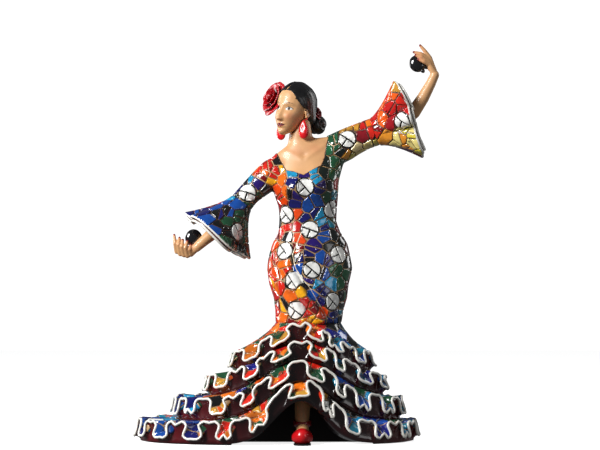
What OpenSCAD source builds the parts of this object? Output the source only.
/* [Figure] */
// Height from the table to the raised fingertip
figure_h = 300; // [150:10:400]
// Turn of the head towards her right shoulder, in degrees
head_turn = 38; // [20:1:50]

/* [Skirt frills] */
// Number of pleat waves around each frill
waves = 18; // [12:1:22]
// Share of the drawn wave height that the pleats stand up and down
wave_share = 1; // [0.6:0.05:1.1]
// How far each frill's wall leans back under its hem
frill_recess = 3; // [2:0.5:5]

/* [Cast joints] */
// Diameter of the steel armature rod in the trunk
rod_d = 5; // [4:0.5:7]
// Diameter of the steel locating pins in the neck, shoulders and leg
pin_d = 3; // [2:0.5:4]
// Radial glue gap around each rod and pin
glue_gap = 0.05; // [0.03:0.01:0.1]
// Thickness of the felt sheet under the base
felt_t = 0.8; // [0.6:0.1:1.5]

/* [Hidden] */

// All sizes below are for a figure 300 mm tall, and draw() scales them together.
scale_all = figure_h / 300;
ease = 0.1; // gap that keeps two glued faces apart

// ---- Skirt: four frills on a cone, lifted into an arch over the front foot ----
// Each tier: [middle across, half width, depth in front, depth behind, height at the sides,
//             height at the arch, half width of the arch, wave height, wall below the waves]
TIERS = [
    [12.2, 55, 31, 35, 61, 85, 33, 5.0, 2.2],
    [ 7.6, 70, 39, 43, 43.5, 71.5, 40, 5.5, 2.2],
    [ 1.7, 88, 48, 52, 27.5, 56.5, 34, 6.1, 2.2],
    [-6.8, 107, 57, 60, 10.4, 42.5, 27, 6.4, 3.4]];
arch_x = 12;            // middle of the arch
frill_thick = 16;       // how deep each frill is cast behind its hem
wave_lean = 1.6;        // how far the dips of a hem stand out past its crests
wave_curl = 0.075;      // sideways curl of a wave, as a share of its length
per_wave = 8;           // facets along one wave
SWEEP = [for (i = [0 : waves * per_wave - 1]) i * 360 / (waves * per_wave)];

function blend(u) = u <= 0 ? 0 : u >= 1 ? 1 : u * u * (3 - 2 * u);
// A point of a tier's outline, moved in by "inset"; a is 0 at the front and 90 at the figure's left.
function plan(t, a, inset) = [t[0] + (t[1] - inset) * sin(a),
    -((cos(a) > 0 ? t[2] : t[3]) - inset) * cos(a)];
function arch(t, a) = exp(-pow((plan(t, a, 0)[0] - arch_x) / t[6], 2)) * blend(cos(a) / 0.45);
function hem_z(t, a) = t[4] + (t[5] - t[4]) * arch(t, a);
function hem_mean(t, a) = let (p = plan(t, a, 0)) [p[0], p[1], hem_z(t, a)];
function under_z(t, a) = max(felt_t, hem_z(t, a) - t[7] * wave_share - t[8]);
function unit(v) = v / norm(v);
// The hem itself: the mean line with the pleat wave laid over it.
function hem(t, a) =
    let (m = hem_mean(t, a),
         along = unit(hem_mean(t, a + 0.5) - hem_mean(t, a - 0.5)),
         out = unit([along[1], -along[0], 0]),
         up = cross(along, -out) * (cross(along, -out)[2] < 0 ? -1 : 1),
         phase = waves * a + 40,
         length = 360 / waves * PI / 180 * norm([t[1], t[2]]) * 0.72)
    m + up * t[7] * wave_share * cos(phase) - out * wave_lean * cos(phase)
      + along * wave_curl * length * sin(2 * phase);
// Height of the opening under the lifted hem, from the front.
function cave_z(x) = let (t = TIERS[3])
    max(felt_t, t[4] + (t[5] - t[4]) * exp(-pow((x - arch_x) / t[6], 2)) - t[7] - t[8]);
// A ring point at height z on a tier's outline.
function level(t, a, inset, z) = let (p = plan(t, a, inset)) [p[0], p[1], z];

// ---- Trunk: each ring is [x and z at her right side, x and z at her left side, depth in front, behind] ----
SKIRT_RINGS = [
    [-7.4, 89, 41.8, 89, 20, 22], [-7.6, 99, 43.2, 99, 20, 21], [-8.8, 109, 46.2, 109, 21, 22],
    [-12.2, 119, 47.3, 119, 21, 24.5], [-14, 131, 50.2, 131, 20, 27], [-12.6, 140, 48.6, 140, 18.5, 26],
    [-9.9, 149.5, 46.5, 149.5, 17, 22.5], [-5.2, 158, 41.2, 158, 15.5, 17.5],
    [-4.6, 166.6, 37.8, 166.6, 14, 14.5]];
BODICE_RINGS = [
    [-4.6, 166.7, 37.8, 166.7, 14, 14.5], [-4.6, 173.5, 38.2, 173.5, 14.8, 14],
    [-5.4, 179, 38.8, 181, 17, 14],
    [-7.6, 185, 39.4, 189, 20.5, 14.5], [-9, 190.5, 39.8, 197.5, 21.5, 15], [-10.5, 195.5, 42, 206, 19, 15.5],
    [-12.5, 201, 44.4, 214.5, 15, 15], [-12.6, 208, 43, 224, 11.5, 13], [-8, 218, 36, 232, 9, 11],
    [0.5, 224.5, 23.5, 230.5, 8.4, 9.6]];
NECK_RINGS = [
    [1, 222, 23, 228, 8.2, 9.6], [1.6, 228, 20.4, 231.5, 8, 8.8], [2.4, 234, 19.8, 235, 8, 8.6],
    [2.6, 240, 19, 240, 8, 8.6], [3.4, 246, 18.4, 246, 7.6, 8]];
TRUNK_N = 36;           // facets around the trunk
function ring(r, n) = [for (i = [0 : n - 1]) let (a = i * 360 / n)
    [(r[0] + r[2] - (r[0] - r[2]) * cos(a)) / 2, (sin(a) < 0 ? r[4] : r[5]) * sin(a),
     (r[1] + r[3] - (r[1] - r[3]) * cos(a)) / 2]];
// Heart-shaped neckline, as seen from the front: [across, up].
NECKLINE = [[-9, 223], [-7.3, 219.3], [-4.5, 212.5], [-0.1, 204.9], [6, 203.6], [10, 202],
    [13.5, 200.8], [17, 203], [21.5, 205.6], [26.9, 208.4], [29.4, 214.5], [30.6, 222],
    [32, 229], [32, 260], [-9, 260]];

// ---- Arms: paths of [point, radius] ----
SLEEVE_RIGHT = [[[6, 1, 208], 8], [[-2, 1, 206.8], 11.6], [[-11, 0.5, 202.6], 11],
    [[-19, 0, 196.2], 9.6], [[-28.6, -1, 187.4], 8.2], [[-34.5, -3, 180], 8.6]];
SLEEVE_LEFT = [[[30, 1, 219], 8], [[37, 1, 221.6], 11.4], [[44, 0.5, 224.6], 11.6],
    [[51, 0, 228.4], 10.9], [[60, -1, 232.4], 10.2], [[69, -2.5, 235.6], 10.4]];
// A bell cuff: [narrow end, mouth, radius at the narrow end, half height, half depth, first lobe]
CUFF_RIGHT = [[-34.2, -2.9, 180.2], [-52.6, -8, 156], 8.9, 30, 22, 90];
CUFF_LEFT = [[68.5, -2.4, 235], [93, -7, 244.4], 10.8, 32.5, 23, 90];
cuff_t = 1.6;           // wall of a cuff
lobes = 5;              // soft folds around a cuff's mouth
lobe_share = 0.1;       // depth of a fold, as a share of the radius
FOREARM_RIGHT = [[[-36, -4.5, 177.5], 5], [[-44, -8, 168.5], 5.4], [[-55, -12, 157.5], 4.8],
    [[-64.5, -14, 149], 3.9], [[-69, -14.4, 144.8], 3.6]];
FOREARM_LEFT = [[[71, -2.9, 237], 5.4], [[88, -7, 242], 5.4], [[97, -9, 249.5], 5.2],
    [[106, -11, 264], 4.5], [[113, -12, 277], 3.9]];
// Fingers: [points from knuckle to tip], radii shared by all
FINGERS_RIGHT = [
    [[-82.5, -13, 143.4], [-83.4, -16, 149.6], [-84.4, -14.4, 156]],
    [[-79.8, -13.4, 141.6], [-81, -17, 148.6], [-80.4, -14.6, 153.8]],
    [[-77, -13.6, 140.8], [-78.4, -17.4, 147.2], [-77.8, -15, 152.2]],
    [[-74.4, -13.6, 140.2], [-75.6, -17.4, 146.4], [-72.9, -15.6, 151.6]],
    [[-71.6, -13.4, 140.2], [-72.6, -16.6, 144], [-71.9, -15.4, 147.4]]];
FINGERS_LEFT = [
    [[109.2, -12, 290.6], [105.2, -12.6, 295.8], [101.9, -12.4, 299]],
    [[108, -12.6, 289.4], [102.4, -14, 293.4], [97.4, -13.4, 294.8]],
    [[108.4, -13.2, 287.6], [102.6, -15.2, 290.8], [98.6, -14.8, 292.6]],
    [[109, -13.6, 285.4], [104.6, -15.6, 287.2], [100.4, -15.4, 289.2]],
    [[111.6, -12.4, 279.4], [109, -10.4, 281.4], [107.4, -9, 284.6]]];
FINGER_R = [2, 1.8, 1.3];
PALM_RIGHT = [[-69.6, -14.2, 144.4], [-73, -12.6, 142.2], [-80.8, -12, 143.6]];
PALM_LEFT = [[113, -12, 278.2], [112, -12.2, 283], [109.4, -12.4, 288.4]];
PALM_R = [3.4, 2.7, 2.5];

// ---- Head ----
HEAD_AT = [5.5, -1, 252.8];
BUN_AT = [23.6, 10.6, 241.4];
head_lean = 8;          // lean of the crown towards her left
head_nod = 5;           // nod of the face towards the floor
module head_pose() translate(HEAD_AT) rotate([0, head_lean, 0]) rotate([head_nod, 0, -head_turn]) children();
CASTANET_RIGHT = [-69.9, -9.4, 153.6];
CASTANET_LEFT = [100.4, -9.8, 286.4];
castanet_r = 6.5;

// ---- Foot ----
LEG = [[[12.6, -29, 32.6], 6], [[12.5, -30, 27], 5.9], [[12.4, -31.5, 19], 5.4], [[12.4, -33, 14], 5.2]];

// ---- Tools for swept solids ----
// Triangles between two rings of n points, whose first points are number a and number b.
function band(a, b, n) = [for (i = [0 : n - 1]) let (j = (i + 1) % n)
    each [[a + i, b + i, b + j], [a + i, b + j, a + j]]];
// The middle of a ring's box.
function middle(r) = [for (k = [0 : 2]) (min([for (p = r) p[k]]) + max([for (p = r) p[k]])) / 2];
// A solid through a list of rings, closed with a flat fan at each end.
module loft(rings) {
    n = len(rings[0]);
    m = len(rings);
    ends = [middle(rings[0]), middle(rings[m - 1])];
    points = concat([for (r = rings) each r], ends);
    polyhedron(points, concat(
        [for (i = [0 : m - 2]) each band(i * n, (i + 1) * n, n)],
        [for (i = [0 : n - 1]) [m * n, i, (i + 1) % n]],
        [for (i = [0 : n - 1]) [m * n + 1, (m - 1) * n + (i + 1) % n, (m - 1) * n + i]]));
}
// A solid through rings whose last ring joins the first.
module loop_loft(rings) {
    n = len(rings[0]);
    m = len(rings);
    polyhedron([for (r = rings) each r],
        [for (i = [0 : m - 1]) each band(i * n, (i + 1) % m * n, n)]);
}
// A circle or oval of n points around c, square to d.
function across(d) = unit(cross(unit(d), abs(unit(d)[1]) > 0.9 ? [1, 0, 0] : [0, 1, 0]));
function oval(c, d, ru, rv, n, lobe = 0, first = 0) =
    let (u = across(d), v = cross(unit(d), u))
    [for (i = [0 : n - 1]) let (a = i * 360 / n, k = 1 + lobe * cos(lobes * a + first))
        c + k * (ru * cos(a) * u + rv * sin(a) * v)];
function path_dir(p, i) = unit(p[min(i + 1, len(p) - 1)][0] - p[max(i - 1, 0)][0]);
module limb(path, n)
    loft([for (i = [0 : len(path) - 1]) oval(path[i][0], path_dir(path, i), path[i][1], path[i][1], n)]);
// A straight rod of diameter d from a to b.
module rod(a, b, d) {
    v = b - a;
    translate(a) rotate([0, acos(v[2] / norm(v)), atan2(v[1], v[0])]) cylinder(d = d, h = norm(v), $fn = 48);
}
module ball(c, r, n = 12) translate(c) sphere(r, $fn = n);
module draw() scale(scale_all) children();

// ---- Base and skirt ----
module cave() translate([0, -13, 0]) rotate([90, 0, 0]) linear_extrude(80)
    polygon(concat([[-40, -5]], [for (x = [-40 : 5 : 65]) [x, cave_z(x)]], [[65, -5]]));
module base_felt() color("#20302a") draw() difference() {
    linear_extrude(felt_t) polygon([for (i = [0 : 71]) plan(TIERS[3], i * 5, 7)]);
    cave();
}
module core_solid() loft([
    [for (a = SWEEP) level(TIERS[3], a, frill_thick + ease, felt_t)],
    [for (a = SWEEP) level(TIERS[3], a, frill_thick + ease, under_z(TIERS[3], a))],
    for (k = [2 : -1 : 0]) [for (a = SWEEP) level(TIERS[k], a, frill_thick + ease, under_z(TIERS[k], a))],
    [for (a = SWEEP) waist_edge(a, 89 - ease)]]);
// The foot of the fitted skirt, where the top frill starts.
function waist_edge(a, z) = let (r = SKIRT_RINGS[0])
    [(r[0] + r[2]) / 2 + (r[2] - r[0]) / 2 * sin(a), -(cos(a) > 0 ? r[4] : r[5]) * cos(a), z];
module skirt_core() color("#3a0a0c") draw() difference() {
    core_solid();
    cave();
    rod([17, 0, 50], [17, 0, 95], rod_d + 2 * glue_gap);
    rod([12.6, -28.5, 25], [12.6, -28.5, 46], pin_d + 2 * glue_gap);
}
// The upper edge of frill k and its lower inner edge, both on the core.
function frill_top_ring(k) = k == 0 ? [for (a = SWEEP) waist_edge(a, 89 - ease)]
    : [for (a = SWEEP) level(TIERS[k - 1], a, frill_recess + 2, under_z(TIERS[k - 1], a) - ease)];
function frill_inner_ring(k) = k == 0 ? [for (a = SWEEP) waist_edge(a, 88 - ease)]
    : [for (a = SWEEP) level(TIERS[k - 1], a, frill_thick, under_z(TIERS[k - 1], a) - ease)];
// The top frill sags between the fitted skirt and its hem.
function sag(p, q) = (p + q) / 2 - [0, 0, 4.5];
// One frill: top surface, hem, wall under the hem, and the two faces glued to the core.
module frill(k) color("#4a0d10") draw() {
    t = TIERS[k];
    top = frill_top_ring(k);
    edge = [for (a = SWEEP) hem(t, a)];
    loop_loft(concat(
        [top],
        k == 0 ? [[for (i = [0 : len(SWEEP) - 1]) sag(top[i], edge[i])]] : [],
        [edge,
         [for (a = SWEEP) level(t, a, frill_recess, under_z(t, a))],
         [for (a = SWEEP) level(t, a, frill_thick, under_z(t, a))],
         frill_inner_ring(k)]));
}
module skirt_body() color("#b3261e") draw() difference() {
    loft([for (r = SKIRT_RINGS) ring(r, TRUNK_N)]);
    rod([17, 0, 80], [17, 0, 175], rod_d + 2 * glue_gap);
}
module trunk_solid() loft([for (r = BODICE_RINGS) ring(r, TRUNK_N)]);
module neck_opening() translate([0, 40, 0]) rotate([90, 0, 0]) linear_extrude(80) polygon(NECKLINE);
module bodice() color("#1f4fa3") draw() difference() {
    trunk_solid();
    neck_opening();
    rod([17, 0, 160], [17, 0, 192], rod_d + 2 * glue_gap);
    rod([-18, 0.5, 200.5], [2, 0.5, 209.5], pin_d + 2 * glue_gap);
    rod([52, 0.5, 230.5], [34, 0.5, 222.4], pin_d + 2 * glue_gap);
}
module bust() color("#c98e5c") draw() difference() {
    union() {
        intersection() {
            trunk_solid();
            neck_opening();
        }
        neck_solid();
    }
    head_solid();
    rod([11, 0, 222], [10.4, 0, 256], pin_d + 2 * glue_gap);
}

// ---- Head and hair ----
module head_solid() head_pose() hull() {
    translate([0, 2.6, 4.8]) scale([1, 1.2, 1.14]) sphere(13.2, $fn = 26);
    translate([0, -4, -7]) scale([1, 1.15, 1.2]) sphere(9.6, $fn = 20);
    translate([0, -9.4, -16.6]) sphere(4.2, $fn = 16);
}
module head() color("#d09a66") draw() difference() {
    union() {
        head_solid();
        for (s = [-1, 1]) head_pose() translate([s * 13, 2, -2])
            scale([0.35, 0.8, 1.1]) sphere(4.4, $fn = 16);
        head_pose() hull() {
            ball([0, -15.4, 0], 1.4);
            ball([0, -17.4, -6], 1.9);
        }
    }
    rod([11, 0, 225], [10.4, 0, 256], pin_d + 2 * glue_gap);
}
module hair_outer() head_pose() hull() {
    translate([0, 4, 4.6]) scale([1, 1.17, 1.1]) sphere(14.9, $fn = 22);
    translate([4.5, 11, -8]) sphere(6, $fn = 14);
}
module neck_solid() loft([for (r = NECK_RINGS) ring(r, 24)]);
module hair_cap() color("#0b0b0d") draw() difference() {
    hair_outer();
    head_solid();
    neck_solid();
    head_pose() translate([0, -10.4, 14.6]) rotate([38, 0, 0]) translate([-20, -40, -60]) cube([40, 40, 60]);
    head_pose() for (s = [-1, 1]) translate([s * 13 - 4, 1.5, -2]) rotate([0, 90, 0])
        cylinder(r = 4.4, h = 8, $fn = 32);
}
module bun_ball(gap) translate(BUN_AT) sphere(7.7 + gap, $fn = 48);
module hair_bun() color("#0b0b0d") draw() difference() {
    bun_ball(0);
    hair_outer();
    neck_solid();
}
// A flower of round petals around a bud, facing up before it is turned.
module rose(r, petals) {
    sphere(r * 0.5, $fn = 24);
    for (i = [0 : petals - 1]) rotate(i * 360 / petals) translate([r * 0.58, 0, 0])
        scale([1, 1, 0.62]) sphere(r * 0.42, $fn = 20);
}
module rose_large() color("#c4121a") draw() difference() {
    translate([-9.6, 6, 261]) rotate([0, -78, 24]) rose(15, 6);
    hair_outer();
    head_solid();
}
module rose_small() color("#7d0f1b") draw() difference() {
    translate([24.6, 7.4, 251]) rotate([0, 66, -20]) rose(6.6, 5);
    hair_outer();
    bun_ball(0.05);
}
// A long hoop with a thin filled middle, on a short wire that ends at the ear lobe.
module earring(at, turn, lobe) color("#c4121a") draw() {
    translate(at) rotate([0, 0, turn]) scale([0.8, 1, 1.42]) rotate([90, 0, 0]) rotate_extrude($fn = 36) {
        translate([3.6, 0]) circle(1.7, $fn = 16);
        translate([0, -0.7]) square([3.6, 1.4]);
    }
    rod(at + [0, 0, 6.4], lobe, 1.8);
}
module earring_right() earring([-3.8, 8.4, 236.6], -30, [-3.8, 8.6, 247]);
module earring_left() earring([13.6, -11, 235.6], -20, [16.1, -7.9, 244.4]);

// ---- Arms ----
module sleeve(path, pin_a, pin_b, pin_c, pin_e) difference() {
    limb(path, 28);
    trunk_solid();
    rod(pin_a, pin_b, pin_d + 2 * glue_gap);
    rod(pin_c, pin_e, pin_d + 2 * glue_gap);
}
module sleeve_right() color("#1d57b8") draw()
    sleeve(SLEEVE_RIGHT, [-18, 0.5, 200.5], [2, 0.5, 209.5], [-38, -5, 175], [-28, -1.6, 187]);
module sleeve_left() color("#8e1515") draw()
    sleeve(SLEEVE_LEFT, [52, 0.5, 230.5], [34, 0.5, 222.4], [72, -3, 237.3], [60, -1.6, 233.8]);
// A bell cuff opens as a smooth curve from its narrow end to its mouth; s is 0 to 1.
function cuff_ring(c, s, out) =
    let (d = c[1] - c[0], k = pow(s, 1.35),
         ru = c[2] + (c[3] - c[2]) * k + out, rv = c[2] + (c[4] - c[2]) * k + out)
    oval(c[0] + d * s, d, ru, rv, 8 * lobes, lobe_share * k, c[5]);
module cuff(c) loop_loft(concat(
    [for (s = [0, 0.25, 0.5, 0.75, 1]) cuff_ring(c, s, 0)],
    [for (s = [1, 0.75, 0.5, 0.25, 0]) cuff_ring(c, s, -cuff_t)]));
module cuff_right() color("#12307a") draw() difference() {
    cuff(CUFF_RIGHT);
    limb(SLEEVE_RIGHT, 28);
}
module cuff_left() color("#a3241b") draw() difference() {
    cuff(CUFF_LEFT);
    limb(SLEEVE_LEFT, 28);
}
module forearm(path, sleeve_path, pin_a, pin_b) {
    difference() {
        limb(path, 18);
        limb(sleeve_path, 28);
    }
    rod(pin_a, pin_b, pin_d);
}
module forearm_right() color("#d6a06c") draw()
    forearm(FOREARM_RIGHT, SLEEVE_RIGHT, [-37.8, -4.9, 175.3], [-28.6, -1.8, 186.3]);
module forearm_left() color("#c08a55") draw()
    forearm(FOREARM_LEFT, SLEEVE_LEFT, [72, -3, 237.3], [60.6, -1.7, 233.9]);
module hand(palm, fingers) {
    for (i = [0 : 1]) hull() {
        ball(palm[i], PALM_R[i], 14);
        ball(palm[i + 1], PALM_R[i + 1], 14);
        if (i == 1) for (f = [0 : 3]) ball(fingers[f][0], FINGER_R[0], 10);
    }
    for (f = fingers, i = [0 : 1]) hull() {
        ball(f[i], FINGER_R[i], 10);
        ball(f[i + 1], FINGER_R[i + 1], 10);
    }
}
module hand_right() color("#d6a06c") draw() difference() {
    hand(PALM_RIGHT, FINGERS_RIGHT);
    limb(FOREARM_RIGHT, 18);
    castanet_space("right");
}
module hand_left() color("#c08a55") draw() difference() {
    hand(PALM_LEFT, FINGERS_LEFT);
    limb(FOREARM_LEFT, 18);
    castanet_space("left");
}
// One wooden shell: a dished disc with an ear, its flat face at y = 0 and its back towards -y.
module castanet_shell() let (r = castanet_r) difference() {
    union() {
        rotate([90, 0, 0]) rotate_extrude($fn = 48)
            polygon([[0, 0], [r, 0], [r, 0.8], [r * 0.86, 1.9], [r * 0.5, 2.8], [0, 3.1]]);
        translate([0, 0, -r * 1.05]) rotate([90, 0, 0]) cylinder(r = r * 0.36, h = 1.9, $fn = 24);
    }
    rotate([90, 0, 0]) translate([0, 0, -0.1]) cylinder(r1 = r * 0.6, r2 = r * 0.3, h = 1.2, $fn = 32);
    for (s = [-1, 1]) translate([s * 0.9, 0.5, -r * 1.1])
        rotate([90, 0, 0]) cylinder(d = 0.9, h = 4, $fn = 24);
}
module in_hand(side) translate(side == "right" ? CASTANET_RIGHT : CASTANET_LEFT)
    rotate(side == "right" ? [-4, 0, 8] : [-6, 0, -28]) children();
module castanet_space(side) in_hand(side) rotate([90, 0, 0])
    cylinder(r = castanet_r + ease, h = 7.4, center = true, $fn = 48);
module castanet_front(side) color("#111111") draw() in_hand(side) translate([0, -0.3, 0]) castanet_shell();
module castanet_back(side) color("#111111") draw()
    in_hand(side) translate([0, 0.3, 0]) mirror([0, 1, 0]) castanet_shell();

// ---- Leg and shoe ----
module leg() color("#b9814f") draw() difference() {
    union() {
        limb(LEG, 20);
        hull() {
            ball([12.4, -33, 12.5], 5, 16);
            ball([12.4, -45, 7.6], 4.6, 16);
        }
    }
    rod([12.6, -28.5, 14], [12.6, -28.5, 46], pin_d + 2 * glue_gap);
}
module shoe() color("#c4121a") draw() difference() {
    hull() {
        ball([12.4, -50.5, 6.8], 5.6, 20);
        ball([8.8, -46.5, 5.6], 4.4, 16);
        ball([16, -46.5, 5.6], 4.4, 16);
        ball([12.4, -31, 8.6], 5.2, 16);
        ball([12.4, -30, 3.8], 4.2, 16);
    }
    translate([0, -70, -10]) cube([30, 60, 11.6]);
    hull() {
        ball([12.4, -33, 12.5], 5.1, 16);
        ball([12.4, -45, 7.6], 4.7, 16);
    }
    translate([12.4, -33, 8]) cylinder(r = 5.6, h = 12, $fn = 32);
}
module shoe_sole() color("#15100f") draw() translate([0, 0, 0.1]) linear_extrude(1.4) hull() {
    translate([12.4, -49]) circle(6.4, $fn = 28);
    translate([12.4, -31]) circle(4.4, $fn = 28);
}
module shoe_strap() color("#8e0f16") draw() difference() {
    translate([12.4, -32.4, 13.6]) rotate([12, 0, 0]) cylinder(r = 6.2, h = 1.8, $fn = 36);
    translate([12.4, -32.4, 13.6]) rotate([12, 0, 0])
        translate([0, 0, -1]) cylinder(r = 5.35, h = 4, $fn = 36);
    limb(LEG, 20);
}

// ---- Hidden steel ----
module armature_rod() color("silver") draw() rod([17, 0, 50.2], [17, 0, 191.8], rod_d);
module neck_pin() color("silver") draw() rod([11, 0, 222.2], [10.4, 0, 255.8], pin_d);
module shoulder_pin_right() color("silver") draw() rod([-17.8, 0.5, 200.6], [1.8, 0.5, 209.4], pin_d);
module shoulder_pin_left() color("silver") draw() rod([51.8, 0.5, 230.4], [34.2, 0.5, 222.5], pin_d);
module leg_pin() color("silver") draw() rod([12.6, -28.5, 14.2], [12.6, -28.5, 45.8], pin_d);

base_felt();
skirt_core();
frill(0);  // frill_top
frill(1);  // frill_upper
frill(2);  // frill_lower
frill(3);  // frill_hem
skirt_body();
bodice();
bust();
head();
hair_cap();
hair_bun();
rose_large();
rose_small();
earring_right();
earring_left();
sleeve_right();
sleeve_left();
cuff_right();
cuff_left();
forearm_right();
forearm_left();
hand_right();
hand_left();
castanet_front("right");  // castanet_right_front
castanet_back("right");  // castanet_right_back
castanet_front("left");  // castanet_left_front
castanet_back("left");  // castanet_left_back
leg();
shoe();
shoe_sole();
shoe_strap();
armature_rod();
neck_pin();
shoulder_pin_right();
shoulder_pin_left();
leg_pin();
